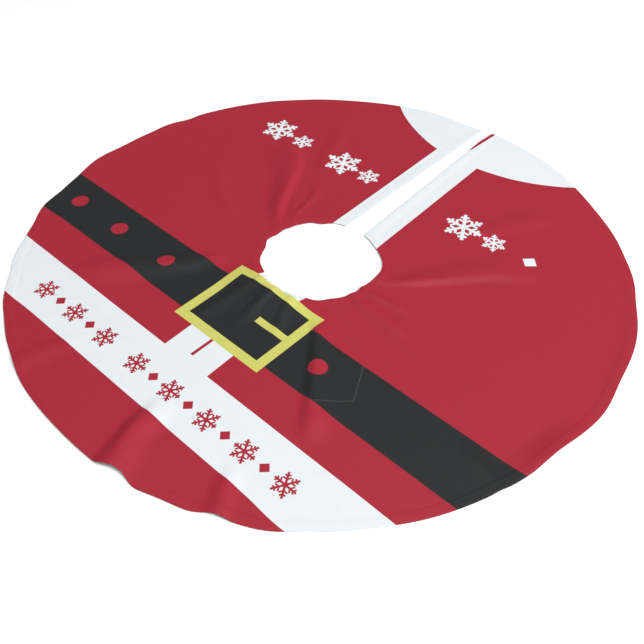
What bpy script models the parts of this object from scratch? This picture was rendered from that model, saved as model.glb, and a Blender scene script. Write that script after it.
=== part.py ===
"""Round tree skirt of printed brushed polyester, lying on a floor with its slit held open.

Metres, +Z up. The origin lies on the floor at the centre of the trunk hole, and the slit runs
from the hole to the rim along +Y. Left and right are as seen from above with the slit at the top.

The skirt is one cloth panel, faced underneath along each of its four edges with a strip of tape
that two rows of stitching hold down. Every piece follows one draped surface, at its own lift.
"""

import math
from typing import NamedTuple

import bmesh
import bpy

# Cloth panel
SKIRT_RADIUS = 0.5588
NECK_RADIUS = 0.106
PANEL_THICKNESS = 0.0006

# Slit lips: x where each lip meets the neck and the rim
LEFT_LIP_AT_NECK = -0.0277
LEFT_LIP_AT_RIM = -0.0308
RIGHT_LIP_AT_NECK = 0.0155
RIGHT_LIP_AT_RIM = -0.0137

# Facing tape sewn under the edges
RIM_FACING_WIDTH = 0.014
NECK_FACING_WIDTH = 0.012
SLIT_FACING_WIDTH = 0.014
FACING_THICKNESS = 0.0005

# Rows of stitching on the printed side
THREAD_WIDTH = 0.0006
THREAD_HEIGHT = 0.0004
EDGE_ROW_INSET = 0.002
HEM_ROW_MARGIN = 0.0015

# Blank care label under the cloth, caught by the rim's hem row
LABEL_WIDTH = 0.028
LABEL_LENGTH = 0.050
LABEL_THICKNESS = 0.00025
LABEL_HEADING = 112.0

# Clearance between pieces that touch
TOUCH_GAP = 0.0003

# Lie of the cloth
NECK_RISE = 0.002
FOLD_FADE = 0.22
COLUMNS_AROUND = 96
PANEL_BAYS = 10
LABEL_BAYS = 3

RED = (0.42, 0.036, 0.054, 1.0)
WHITE = (0.80, 0.84, 0.87, 1.0)
TAPE_WHITE = (0.74, 0.76, 0.78, 1.0)
THREAD_GREY = (0.62, 0.63, 0.65, 1.0)


class Fold(NamedTuple):
    """A raised fold whose crest runs between two points of the cloth.

    A heading is in degrees from +X. A reach is 0 at the neck's facing and 1 at the rim's.
    """

    start_heading: float
    start_reach: float
    end_heading: float
    end_reach: float
    half_width: float
    height: float


FOLDS = (
    Fold(164.0, 0.00, 145.0, 0.50, 0.040, 0.006),
    Fold(20.0, 0.00, 39.0, 0.50, 0.040, 0.005),
    Fold(315.0, 0.12, 309.0, 0.70, 0.045, 0.007),
    Fold(223.0, 0.12, 230.0, 0.70, 0.045, 0.007),
    Fold(188.0, 0.10, 174.0, 0.50, 0.045, 0.004),
    Fold(58.0, 0.40, 61.0, 0.80, 0.055, 0.005),
    Fold(281.0, 0.50, 278.0, 1.00, 0.055, 0.014),
    Fold(297.5, 0.80, 296.5, 1.00, 0.050, 0.014),
    Fold(252.5, 0.75, 252.0, 1.00, 0.055, 0.009),
    Fold(352.0, 0.60, 352.0, 1.00, 0.060, 0.008),
    Fold(335.0, 0.75, 336.0, 1.00, 0.055, 0.006),
)


class Lip(NamedTuple):
    """One edge of the slit. Side is the sign of the turn that leads from it into the cloth."""

    at_neck: float
    at_rim: float
    side: int


LEFT_LIP = Lip(LEFT_LIP_AT_NECK, LEFT_LIP_AT_RIM, 1)
RIGHT_LIP = Lip(RIGHT_LIP_AT_NECK, RIGHT_LIP_AT_RIM, -1)

# Draped surface


def lip_angle(lip, radius):
    """The angle from +X at which a lip crosses the circle of this radius."""
    share = (radius - NECK_RADIUS) / (SKIRT_RADIUS - NECK_RADIUS)
    return math.acos((lip.at_neck + share * (lip.at_rim - lip.at_neck)) / radius)


def reach_at(radius):
    """0 across the neck's facing, 1 across the rim's, and even in between."""
    inner = NECK_RADIUS + NECK_FACING_WIDTH
    outer = SKIRT_RADIUS - RIM_FACING_WIDTH
    return min(max((radius - inner) / (outer - inner), 0.0), 1.0)


def fold_rise(fold, angle, reach):
    """How far one fold lifts the cloth at an angle and a reach."""
    along = (reach - fold.start_reach) / (fold.end_reach - fold.start_reach)
    held = min(max(along, 0.0), 1.0)
    crest = math.radians(fold.start_heading + held * (fold.end_heading - fold.start_heading))
    inner = NECK_RADIUS + NECK_FACING_WIDTH
    outer = SKIRT_RADIUS - RIM_FACING_WIDTH
    across = abs(math.remainder(angle - crest, math.tau)) * (inner + reach * (outer - inner))
    beyond = max(fold.start_reach - reach, reach - fold.end_reach, 0.0)
    quarter = math.pi / 2
    across_share = math.cos(quarter * min(across / fold.half_width, 1.0)) ** 2
    along_share = math.cos(quarter * min(beyond / FOLD_FADE, 1.0)) ** 2
    return fold.height * across_share * along_share


def drape(angle, radius):
    """Height of the underside of the facings above the floor."""
    reach = reach_at(radius)
    return NECK_RISE * (1 - reach) ** 2 + sum(fold_rise(fold, angle, reach) for fold in FOLDS)


# Columns: each gives an angle at any radius


def around(first_index=0, last_index=COLUMNS_AROUND, first_inset=0.0, last_inset=0.0):
    """Columns from the right lip, index 0, round to the left one. The two end ones move inwards."""

    def column(index):
        share = index / COLUMNS_AROUND
        moved_in = first_inset * (index == first_index) - last_inset * (index == last_index)

        def angle_at(radius):
            first = lip_angle(RIGHT_LIP, radius)
            last = lip_angle(LEFT_LIP, radius) - math.tau
            return first + share * (last - first) - moved_in / radius

        return angle_at

    return [column(index) for index in range(first_index, last_index + 1)]


def beside(lip, near, far):
    """Two columns that follow a lip at two distances from it, in the order that faces upwards."""

    def column(distance):
        return lambda radius: lip_angle(lip, radius) + lip.side * distance / radius

    pair = [column(near), column(far)]
    return pair if lip.side < 0 else pair[::-1]


def across(heading, width):
    """Two straight columns that keep a strip of this width centred on a heading."""
    middle = math.radians(heading)

    def column(offset):
        return lambda radius: middle + math.asin(offset / radius)

    return [column(width / 2), column(-width / 2)]


# Rings: lists of radii, inner first


def spaced(first, last, bays):
    """Radii from first to last in even bays."""
    return [first + (last - first) * index / bays for index in range(bays + 1)]


def panel_rings():
    """The neck edge, the rings between the two facings' inner edges, and the rim edge."""
    inner = NECK_RADIUS + NECK_FACING_WIDTH
    outer = SKIRT_RADIUS - RIM_FACING_WIDTH
    return [NECK_RADIUS, *spaced(inner, outer, PANEL_BAYS), SKIRT_RADIUS]


def rings_between(first, last):
    """The panel's rings that lie between two radii, with those two as the ends."""
    return [first, *(ring for ring in panel_rings() if first < ring < last), last]


def chord_sag(radius, span):
    """How far the straight side of a facet of this span falls inside its circle."""
    return radius * (1 - math.cos(span / 2 / radius))


def clear_outside(radius, span):
    """The radius at which a piece's own straight end of this span clears a circle inside it."""
    return radius + TOUCH_GAP + chord_sag(radius, span)


def clear_inside(radius):
    """The radius at which an end clears the faceted inner side of a round strip outside it."""
    return radius - TOUCH_GAP - chord_sag(radius, math.tau * radius / COLUMNS_AROUND)


# Pieces


def material(name, colour, roughness):
    """A plain cloth or thread finish."""
    finish = bpy.data.materials.new(name)
    finish.use_nodes = True
    finish.diffuse_color = colour
    shader = finish.node_tree.nodes["Principled BSDF"]
    shader.inputs["Base Color"].default_value = colour
    shader.inputs["Roughness"].default_value = roughness
    shader.inputs["Metallic"].default_value = 0.0
    return finish


def laid_sheet(name, columns, rings, lift, thickness, finish):
    """A closed sheet over a grid of columns and rings, its underside at a lift above the drape."""
    mesh = bpy.data.meshes.new(name)
    sheet = bmesh.new()
    bays_across = len(columns) - 1
    bays_out = len(rings) - 1
    bmesh.ops.create_grid(sheet, x_segments=bays_across, y_segments=bays_out, size=1.0)
    for corner in sheet.verts:
        angle_at = columns[round((corner.co.x + 1) / 2 * bays_across)]
        radius = rings[round((corner.co.y + 1) / 2 * bays_out)]
        angle = angle_at(radius)
        height = drape(angle, radius) + lift
        corner.co = (radius * math.cos(angle), radius * math.sin(angle), height)
    bmesh.ops.triangulate(sheet, faces=sheet.faces, quad_method="FIXED")
    sheet.to_mesh(mesh)
    sheet.free()
    piece = bpy.data.objects.new(name, mesh)
    bpy.context.scene.collection.objects.link(piece)
    mesh.materials.append(finish)
    wall = piece.modifiers.new("cloth_thickness", "SOLIDIFY")
    wall.thickness = thickness
    wall.offset = 1.0
    return piece


def panel_lift():
    """The panel's underside, above the facings."""
    return FACING_THICKNESS + TOUCH_GAP


def thread_lift():
    """The stitching's underside, above the panel."""
    return panel_lift() + PANEL_THICKNESS + TOUCH_GAP


def make_panel():
    finish = material("printed_polyester", RED, 0.85)
    laid_sheet("face_panel", around(), panel_rings(), panel_lift(), PANEL_THICKNESS, finish)


def make_round_facings():
    """The tape under the neck, from lip to lip, and the rim's two lengths, which butt opposite."""
    neck = [NECK_RADIUS, NECK_RADIUS + NECK_FACING_WIDTH]
    rim = [SKIRT_RADIUS - RIM_FACING_WIDTH, SKIRT_RADIUS]
    opposite = COLUMNS_AROUND // 2
    half_gap = TOUCH_GAP / 2
    lengths = {
        "neck_facing": (around(), neck),
        "right_rim_facing": (around(last_index=opposite, last_inset=half_gap), rim),
        "left_rim_facing": (around(first_index=opposite, first_inset=half_gap), rim),
    }
    for name, (columns, rings) in lengths.items():
        finish = material(name + "_tape", TAPE_WHITE, 0.9)
        laid_sheet(name, columns, rings, 0.0, FACING_THICKNESS, finish)


def make_slit_facings():
    """The tapes under the lips, which butt against the round ones."""
    first = clear_outside(NECK_RADIUS + NECK_FACING_WIDTH, SLIT_FACING_WIDTH)
    last = clear_inside(SKIRT_RADIUS - RIM_FACING_WIDTH)
    for side, lip in (("left", LEFT_LIP), ("right", RIGHT_LIP)):
        name = side + "_slit_facing"
        columns = beside(lip, 0.0, SLIT_FACING_WIDTH)
        finish = material(name + "_tape", TAPE_WHITE, 0.9)
        laid_sheet(name, columns, rings_between(first, last), 0.0, FACING_THICKNESS, finish)


def row_insets(facing_width):
    """How far each row of a facing lies from the edge that it follows."""
    return {"edge": EDGE_ROW_INSET, "hem": facing_width - HEM_ROW_MARGIN}


def make_round_stitching():
    """Two rows round the neck and two round the rim, from lip to lip."""
    half = THREAD_WIDTH / 2
    rows = {}
    for row, inset in row_insets(NECK_FACING_WIDTH).items():
        rows[f"neck_{row}_stitching"] = NECK_RADIUS + inset
    for row, inset in row_insets(RIM_FACING_WIDTH).items():
        rows[f"rim_{row}_stitching"] = SKIRT_RADIUS - inset
    for name, radius in rows.items():
        finish = material(name + "_thread", THREAD_GREY, 0.6)
        columns = around(first_inset=EDGE_ROW_INSET, last_inset=EDGE_ROW_INSET)
        rings = [radius - half, radius + half]
        laid_sheet(name, columns, rings, thread_lift(), THREAD_HEIGHT, finish)


def make_slit_stitching():
    """Two rows along each lip, which stop where they meet the round hem rows."""
    half = THREAD_WIDTH / 2
    neck_row = NECK_RADIUS + row_insets(NECK_FACING_WIDTH)["hem"] + half
    rim_row = SKIRT_RADIUS - row_insets(RIM_FACING_WIDTH)["hem"] - half
    first = clear_outside(neck_row, THREAD_WIDTH)
    last = clear_inside(rim_row)
    for side, lip in (("left", LEFT_LIP), ("right", RIGHT_LIP)):
        for row, inset in row_insets(SLIT_FACING_WIDTH).items():
            name = f"{side}_slit_{row}_stitching"
            columns = beside(lip, inset - half, inset + half)
            finish = material(name + "_thread", THREAD_GREY, 0.6)
            rings = rings_between(first, last)
            laid_sheet(name, columns, rings, thread_lift(), THREAD_HEIGHT, finish)


def make_label():
    """A blank woven tab that lies close under the panel, with its end against the rim's tape."""
    outer = clear_inside(SKIRT_RADIUS - RIM_FACING_WIDTH)
    rings = spaced(outer - LABEL_LENGTH, outer, LABEL_BAYS)
    lift = panel_lift() - TOUCH_GAP - LABEL_THICKNESS
    finish = material("care_label_satin", WHITE, 0.45)
    laid_sheet("care_label", across(LABEL_HEADING, LABEL_WIDTH), rings, lift, LABEL_THICKNESS, finish)


def clear_scene():
    for item in list(bpy.data.objects):
        bpy.data.objects.remove(item, do_unlink=True)


def main():
    clear_scene()
    make_panel()
    make_round_facings()
    make_slit_facings()
    make_round_stitching()
    make_slit_stitching()
    make_label()


main()
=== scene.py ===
"""Round tree skirt of printed brushed polyester, laid on a floor with its slit spread open.

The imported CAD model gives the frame: metres, +Z up, the origin on the floor at the centre of the
trunk hole, and the slit along +Y. Left and right are as seen from above with the slit at the top.
Headings are in degrees anticlockwise from +X. Each class makes one sub-assembly and dresses it.
"""

import logging
import math
from collections.abc import Callable, Iterable, Sequence
from dataclasses import dataclass
from enum import Enum
from typing import NamedTuple, Union

import bmesh
import bpy
from mathutils import Matrix, Vector, noise


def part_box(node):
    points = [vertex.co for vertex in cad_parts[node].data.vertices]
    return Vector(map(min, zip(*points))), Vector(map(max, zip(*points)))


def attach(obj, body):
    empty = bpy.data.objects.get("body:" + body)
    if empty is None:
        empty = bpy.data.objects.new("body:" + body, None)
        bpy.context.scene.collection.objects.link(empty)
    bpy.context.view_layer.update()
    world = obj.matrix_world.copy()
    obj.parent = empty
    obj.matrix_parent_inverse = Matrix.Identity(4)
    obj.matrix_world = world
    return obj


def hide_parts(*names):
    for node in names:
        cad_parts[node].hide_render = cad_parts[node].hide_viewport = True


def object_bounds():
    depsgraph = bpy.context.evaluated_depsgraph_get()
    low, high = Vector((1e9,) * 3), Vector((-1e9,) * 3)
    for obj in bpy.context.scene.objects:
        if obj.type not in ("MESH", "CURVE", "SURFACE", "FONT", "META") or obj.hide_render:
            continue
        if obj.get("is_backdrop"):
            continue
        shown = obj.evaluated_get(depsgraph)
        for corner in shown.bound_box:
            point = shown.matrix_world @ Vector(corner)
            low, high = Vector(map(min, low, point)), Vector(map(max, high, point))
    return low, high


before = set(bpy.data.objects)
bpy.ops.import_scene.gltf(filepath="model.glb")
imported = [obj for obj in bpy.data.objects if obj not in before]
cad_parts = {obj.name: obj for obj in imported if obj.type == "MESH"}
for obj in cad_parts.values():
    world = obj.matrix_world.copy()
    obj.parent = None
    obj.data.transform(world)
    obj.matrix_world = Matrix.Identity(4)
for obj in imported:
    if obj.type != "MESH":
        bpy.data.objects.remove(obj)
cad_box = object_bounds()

LOG = logging.getLogger("tree_skirt")
BODY = "root"
CUT_MAP = "cut"
HEM_MAP = "hem"

Colour = tuple[float, float, float, float]


# Cut of the cloth


class Side(Enum):
    """The two lips of the slit."""

    LEFT = "left"
    RIGHT = "right"


class Edge(Enum):
    """The four sewn edges of the cloth."""

    NECK = "neck"
    RIM = "rim"
    LEFT_LIP = "left_lip"
    RIGHT_LIP = "right_lip"


class Spot(NamedTuple):
    """A place on the flat cloth.

    Attributes:
        share: 0 at the right lip and 1 at the left one, round the skirt.
        inset: Distance moved clockwise from that share, in metres.
        radius: Distance from the centre of the trunk hole, in metres.
    """

    share: float
    inset: float
    radius: float


@dataclass(frozen=True)
class Cut:
    """The outline of the skirt and the widths sewn along its edges, in metres.

    Attributes:
        rim_radius: Radius of the rim.
        neck_radius: Radius of the trunk hole.
        left_lip_at_neck: x where the left lip meets the hole.
        left_lip_at_rim: x where the left lip meets the rim.
        right_lip_at_neck: x where the right lip meets the hole.
        right_lip_at_rim: x where the right lip meets the rim.
        rim_tape: Width of the tape under the rim.
        neck_tape: Width of the tape round the hole.
        slit_tape: Width of the tape under each lip.
        edge_row: How far in from an edge its first row of stitching runs.
        hem_row_margin: How far the second row runs from the tape's inner edge.
    """

    rim_radius: float
    neck_radius: float = 0.106
    left_lip_at_neck: float = -0.0277
    left_lip_at_rim: float = -0.0308
    right_lip_at_neck: float = 0.0155
    right_lip_at_rim: float = -0.0137
    rim_tape: float = 0.014
    neck_tape: float = 0.012
    slit_tape: float = 0.014
    edge_row: float = 0.002
    hem_row_margin: float = 0.0015

    @classmethod
    def from_frame(cls) -> "Cut":
        """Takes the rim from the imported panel, which is as wide as the rim's circle.

        Returns:
            The cut of this skirt.
        """
        low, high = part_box("face_panel")
        return cls(rim_radius=(high.x - low.x) / 2)

    def lip_angle(self, side: Side, radius: float) -> float:
        """Finds where a lip crosses a circle.

        Args:
            side: The lip.
            radius: The circle's radius.

        Returns:
            The angle from +X, in radians.
        """
        share = (radius - self.neck_radius) / (self.rim_radius - self.neck_radius)
        at_neck, at_rim = self.right_lip_at_neck, self.right_lip_at_rim
        if side is Side.LEFT:
            at_neck, at_rim = self.left_lip_at_neck, self.left_lip_at_rim
        return math.acos((at_neck + share * (at_rim - at_neck)) / radius)

    def angle(self, spot: Spot) -> float:
        """Gives the angle from +X of a spot, in radians."""
        first = self.lip_angle(Side.RIGHT, spot.radius)
        last = self.lip_angle(Side.LEFT, spot.radius) - math.tau
        return first + spot.share * (last - first) - spot.inset / spot.radius

    def reach(self, radius: float) -> float:
        """Gives 0 across the neck's tape, 1 across the rim's, and even shares in between."""
        inner = self.neck_radius + self.neck_tape
        outer = self.rim_radius - self.rim_tape
        return min(max((radius - inner) / (outer - inner), 0.0), 1.0)

    def radius_at(self, reach: float) -> float:
        """Gives the radius at a reach."""
        inner = self.neck_radius + self.neck_tape
        outer = self.rim_radius - self.rim_tape
        return inner + reach * (outer - inner)

    def tape_width(self, edge: Edge) -> float:
        """Gives the width of the tape under an edge."""
        widths = {Edge.NECK: self.neck_tape, Edge.RIM: self.rim_tape}
        return widths.get(edge, self.slit_tape)

    def rows(self, edge: Edge) -> tuple[float, float]:
        """Gives how far an edge's two rows of stitching lie from it."""
        return self.edge_row, self.tape_width(edge) - self.hem_row_margin

    def distances(self, spot: Spot) -> dict[Edge, float]:
        """Gives how far a spot lies from each edge."""
        angle = self.angle(spot)
        first = self.lip_angle(Side.RIGHT, spot.radius)
        last = self.lip_angle(Side.LEFT, spot.radius) - math.tau
        return {
            Edge.NECK: spot.radius - self.neck_radius,
            Edge.RIM: self.rim_radius - spot.radius,
            Edge.LEFT_LIP: (angle - last) * spot.radius,
            Edge.RIGHT_LIP: (first - angle) * spot.radius,
        }

    def area(self) -> float:
        """Gives the flat area of the cloth: the ring less the slit."""
        ring = math.pi * (self.rim_radius**2 - self.neck_radius**2)
        at_neck = self.right_lip_at_neck - self.left_lip_at_neck
        at_rim = self.right_lip_at_rim - self.left_lip_at_rim
        return ring - (self.rim_radius - self.neck_radius) * (at_neck + at_rim) / 2


# Lie of the cloth


def eased(share: float) -> float:
    """Eases a share from 0 to 1, and holds it beyond them."""
    held = min(max(share, 0.0), 1.0)
    return held * held * (3 - 2 * held)


def swell(distance: float, half_width: float) -> float:
    """Gives 1 at no distance, and falls smoothly to 0 at the half width."""
    return math.cos(math.pi / 2 * min(abs(distance) / half_width, 1.0)) ** 2


@dataclass(frozen=True)
class Fold:
    """A raised fold that runs outwards over the cloth.

    Attributes:
        start: Heading and reach where its crest starts.
        end: Heading and reach where its crest ends.
        height: Height of the crest, in metres.
        width: Half width where it starts, in metres.
        spread: Half width where it ends, in metres.
        bend: How far its crest bows anticlockwise at its middle, in degrees.
        lean: How much wider its anticlockwise flank is than the clockwise one, from -1 to 1.
        foot: Share of its height that it has where it starts.
        fade: Reach over which it rises before its start and sinks past its end.
    """

    start: tuple[float, float]
    end: tuple[float, float]
    height: float
    width: float
    spread: float
    bend: float = 0.0
    lean: float = 0.0
    foot: float = 1.0
    fade: float = 0.20

    def rise(self, angle: float, reach: float, radius: float) -> float:
        """Finds how far the fold lifts the cloth.

        Args:
            angle: Angle from +X, in radians.
            reach: Reach of the place, which is held across the hems.
            radius: Radius at that reach.

        Returns:
            The lift, in metres.
        """
        beyond = max(self.start[1] - reach, reach - self.end[1], 0.0)
        if beyond >= self.fade:
            return 0.0
        along = min(max((reach - self.start[1]) / (self.end[1] - self.start[1]), 0.0), 1.0)
        crest = self.start[0] + along * (self.end[0] - self.start[0])
        # The bend is full halfway along and none at either end
        crest = math.radians(crest + 4 * self.bend * along * (1 - along))
        across = math.remainder(angle - crest, math.tau) * radius
        flank = self.width + along * (self.spread - self.width)
        flank *= 1 + math.copysign(self.lean, across)
        if abs(across) >= flank:
            return 0.0
        # A third of the way along, it has grown to its full height
        grown = self.foot + (1 - self.foot) * eased(3 * along)
        return self.height * grown * swell(across, flank) * swell(beyond, self.fade)


@dataclass(frozen=True)
class Mound:
    """A soft swelling of the cloth that runs round part of the skirt.

    Attributes:
        heading: Its middle.
        half_angle: How far it runs to each side, in degrees.
        radius: Radius of its crest, in metres.
        height: Height of its crest, in metres.
        inner: How far it slopes down towards the centre, in metres.
        outer: How far it slopes down towards the rim, in metres.
    """

    heading: float
    half_angle: float
    radius: float
    height: float
    inner: float
    outer: float

    def rise(self, angle: float, radius: float) -> float:
        """Finds how far it lifts the cloth.

        Args:
            angle: Angle from +X, in radians.
            radius: Radius of the place.

        Returns:
            The lift, in metres.
        """
        turn = math.remainder(angle - math.radians(self.heading), math.tau)
        out = radius - self.radius
        slope = self.inner if out < 0 else self.outer
        return self.height * swell(turn, math.radians(self.half_angle)) * swell(out, slope)


@dataclass(frozen=True)
class EdgePull:
    """A stretch of the rim or the neck that is drawn in towards the centre.

    Attributes:
        heading: Its middle.
        half_angle: How far it runs to each side, in degrees.
        distance: How far it is drawn in at its middle, or out where negative, in metres.
        start: Share of the way across the cloth to that edge at which the pull starts.
    """

    heading: float
    half_angle: float
    distance: float
    start: float

    def amount(self, angle: float, share: float) -> float:
        """Finds the pull at a place.

        Args:
            angle: Angle from +X, in radians.
            share: Share of the way across the cloth to that edge.

        Returns:
            The pull, in metres.
        """
        turn = math.remainder(angle - math.radians(self.heading), math.tau)
        held = eased((share - self.start) / (1 - self.start))
        return self.distance * swell(turn, math.radians(self.half_angle)) * held


FOLDS = (
    # From the neck outwards
    Fold((171.5, 0.02), (142.5, 0.46), 0.0070, 0.018, 0.046, bend=-6.2, lean=-0.42, foot=0.3),
    Fold((158.0, 0.02), (135.5, 0.18), 0.0018, 0.010, 0.016, bend=-3.0, foot=0.4, fade=0.10),
    Fold((14.5, 0.03), (35.5, 0.48), 0.0050, 0.023, 0.046, bend=3.6, lean=-0.40, foot=0.4),
    Fold((-4.0, 0.02), (0.0, 0.14), 0.0028, 0.011, 0.016, fade=0.12),
    Fold((-17.0, 0.03), (-12.0, 0.20), 0.0026, 0.013, 0.020, fade=0.12),
    Fold((312.0, 0.20), (311.0, 0.58), 0.0052, 0.025, 0.034, lean=0.30, fade=0.14),
    Fold((221.0, 0.10), (226.0, 0.62), 0.0060, 0.026, 0.044, bend=2.0, lean=0.24, foot=0.1),
    Fold((182.0, 0.30), (172.0, 0.50), 0.0016, 0.026, 0.036, fade=0.16),
    Fold((253.0, 0.06), (257.0, 0.26), 0.0020, 0.016, 0.022, lean=0.30, fade=0.12),
    Fold((271.0, 0.04), (272.5, 0.15), 0.0018, 0.014, 0.018, fade=0.12),
    Fold((289.0, 0.04), (291.0, 0.15), 0.0018, 0.014, 0.018, fade=0.12),
    # Across the middle
    Fold((57.5, 0.48), (58.5, 0.70), 0.0024, 0.034, 0.038),
    Fold((131.0, 0.48), (127.0, 0.66), 0.0020, 0.024, 0.028),
    # Out to the rim
    Fold((276.9, 0.84), (278.6, 1.00), 0.0080, 0.034, 0.042, lean=0.40, fade=0.20),
    Fold((297.5, 0.92), (298.0, 1.00), 0.0042, 0.024, 0.028, lean=0.20, fade=0.11),
    Fold((249.5, 0.88), (250.0, 1.00), 0.0028, 0.026, 0.034, lean=0.20, fade=0.14),
    Fold((340.0, 0.92), (340.0, 1.00), 0.0032, 0.020, 0.024, lean=0.20, fade=0.14),
)

MOUNDS = (
    # Beside the trunk hole
    Mound(267.0, 50.0, 0.1240, 0.0108, 0.019, 0.084),
    Mound(150.0, 60.0, 0.1250, 0.0012, 0.020, 0.050),
    # Along the rim
    Mound(268.0, 13.0, 0.5600, 0.0014, 0.090, 0.090),
    Mound(351.5, 12.0, 0.5600, 0.0055, 0.050, 0.050),
    Mound(16.0, 17.0, 0.5600, 0.0015, 0.045, 0.045),
)

RIM_PULLS = (
    EdgePull(4.0, 8.0, -0.0040, 0.85),
    EdgePull(22.0, 12.0, -0.0045, 0.85),
    EdgePull(37.0, 8.0, -0.0030, 0.85),
    EdgePull(59.0, 12.0, 0.0030, 0.85),
    EdgePull(75.0, 10.0, -0.0030, 0.80),
    EdgePull(98.0, 9.0, 0.0070, 0.60),
    EdgePull(126.0, 22.0, 0.0045, 0.80),
    EdgePull(139.0, 6.0, 0.0015, 0.85),
    EdgePull(165.0, 3.5, 0.0040, 0.90),
    EdgePull(170.5, 4.5, -0.0030, 0.90),
    EdgePull(189.0, 8.0, -0.0070, 0.88),
    EdgePull(207.0, 6.5, -0.0070, 0.88),
    EdgePull(222.0, 5.0, -0.0030, 0.88),
    EdgePull(234.0, 6.0, -0.0030, 0.88),
    EdgePull(249.0, 6.0, 0.0020, 0.88),
    EdgePull(269.0, 20.0, 0.0065, 0.75),
    EdgePull(281.0, 4.5, 0.0110, 0.80),
    EdgePull(289.0, 6.0, 0.0030, 0.85),
    EdgePull(297.5, 4.0, 0.0050, 0.88),
    EdgePull(306.0, 7.0, -0.0050, 0.85),
    EdgePull(316.0, 7.0, -0.0015, 0.85),
    EdgePull(328.0, 12.0, -0.0020, 0.85),
    EdgePull(352.0, 7.0, 0.0040, 0.88),
)

NECK_PULLS = (
    EdgePull(30.0, 36.0, -0.0085, 0.86),
    EdgePull(131.0, 14.0, 0.0055, 0.88),
    EdgePull(194.0, 13.0, -0.0060, 0.88),
    EdgePull(225.0, 20.0, -0.0035, 0.88),
    EdgePull(311.0, 14.0, -0.0040, 0.88),
    EdgePull(338.0, 26.0, -0.0028, 0.88),
)


@dataclass(frozen=True)
class Lay:
    """How the cut cloth lies on the floor, layer by layer, in metres.

    Attributes:
        cut: The cut of the cloth.
        clearance: Room under the tapes for the lower thread.
        tape: Thickness of the tape.
        panel: Thickness of the panel.
        bare: Height of the panel's underside where no tape lies under it.
        neck_rise: How far the neck stands up from the floor.
        unevenness: How far the cloth's slow undulation lifts it.
        undulation: Distance from one swell of that undulation to the next.
        hem_step: Width over which the panel comes down from a tape to the floor.
        groove: Depth that a row of stitching pulls the panel in.
        groove_width: Half width of that groove.
        edge_roll: How far the panel's edges turn down.
        corner: Length over which each lip's outer corner rounds off.
        corner_cut: How far the tip of that corner is drawn in.
    """

    cut: Cut
    clearance: float = 0.0003
    tape: float = 0.00045
    panel: float = 0.0006
    bare: float = 0.0003
    neck_rise: float = 0.0006
    unevenness: float = 0.0009
    undulation: float = 0.11
    hem_step: float = 0.003
    groove: float = 0.00014
    groove_width: float = 0.0009
    edge_roll: float = 0.0002
    corner: float = 0.012
    corner_cut: float = 0.003

    def rest(self, spot: Spot) -> float:
        """Gives the height of the cloth's lowest layer above the floor."""
        angle = self.cut.angle(spot)
        reach = self.cut.reach(spot.radius)
        radius = self.cut.radius_at(reach)
        folds = sum(fold.rise(angle, reach, radius) for fold in FOLDS)
        mounds = sum(mound.rise(angle, spot.radius) for mound in MOUNDS)
        flat = Vector((math.cos(angle), math.sin(angle), 0.0)) * (spot.radius / self.undulation)
        slow = self.unevenness * (0.5 + 0.5 * noise.noise(flat))
        return self.neck_rise * (1 - reach) ** 2 + folds + mounds + slow

    def share_out(self, radius: float) -> float:
        """Gives a radius as a share of the way from the neck to the rim."""
        return (radius - self.cut.neck_radius) / (self.cut.rim_radius - self.cut.neck_radius)

    def pulled_in(self, spot: Spot) -> float:
        """Gives how far the cloth is drawn towards the centre at a spot."""
        angle = self.cut.angle(spot)
        share_out = self.share_out(spot.radius)
        drawn = sum(pull.amount(angle, share_out) for pull in RIM_PULLS)
        drawn += sum(pull.amount(angle, 1 - share_out) for pull in NECK_PULLS)
        distances = self.cut.distances(spot)
        beside_lip = min(distances[Edge.LEFT_LIP], distances[Edge.RIGHT_LIP])
        beside_rim = distances[Edge.RIM]
        rounding = max(1 - beside_lip / self.corner, 0.0) ** 2
        return drawn + self.corner_cut * rounding * eased(1 - beside_rim / self.corner)

    def panel_lift(self, spot: Spot) -> float:
        """Gives the height of the panel's underside above the lowest layer."""
        hemmed = 0.0
        drawn = 0.0
        rolled = 0.0
        for edge, distance in self.cut.distances(spot).items():
            width = self.cut.tape_width(edge)
            hemmed = max(hemmed, eased((width + self.hem_step - distance) / self.hem_step))
            rolled = max(rolled, swell(distance, self.groove_width))
            for row in self.cut.rows(edge):
                drawn = max(drawn, swell(distance - row, self.groove_width))
        on_tape = self.clearance + self.tape
        lifted = self.bare + hemmed * (on_tape - self.bare)
        return lifted - self.groove * drawn - self.edge_roll * rolled

    def place(self, spot: Spot, lift: float) -> Vector:
        """Finds where a spot of the flat cloth lies.

        Args:
            spot: The spot.
            lift: Height above the cloth's lowest layer.

        Returns:
            Its place.
        """
        angle = self.cut.angle(spot)
        radius = spot.radius - self.pulled_in(spot)
        height = self.rest(spot) + lift
        return Vector((radius * math.cos(angle), radius * math.sin(angle), height))

    def top(self, spot: Spot) -> Vector:
        """Gives the place of a spot on the panel's printed side."""
        return self.place(spot, self.panel_lift(spot) + self.panel)

    def under(self, spot: Spot) -> Vector:
        """Gives the place of a spot on the tapes' lower side."""
        return self.place(spot, self.clearance)


# Sheets


def evenly(first: float, last: float, bays: int) -> list[float]:
    """Gives the values from first to last in even bays."""
    return [first + (last - first) * index / bays for index in range(bays + 1)]


# The share and the inset that every spot of a column has
Column = tuple[float, float]


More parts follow.
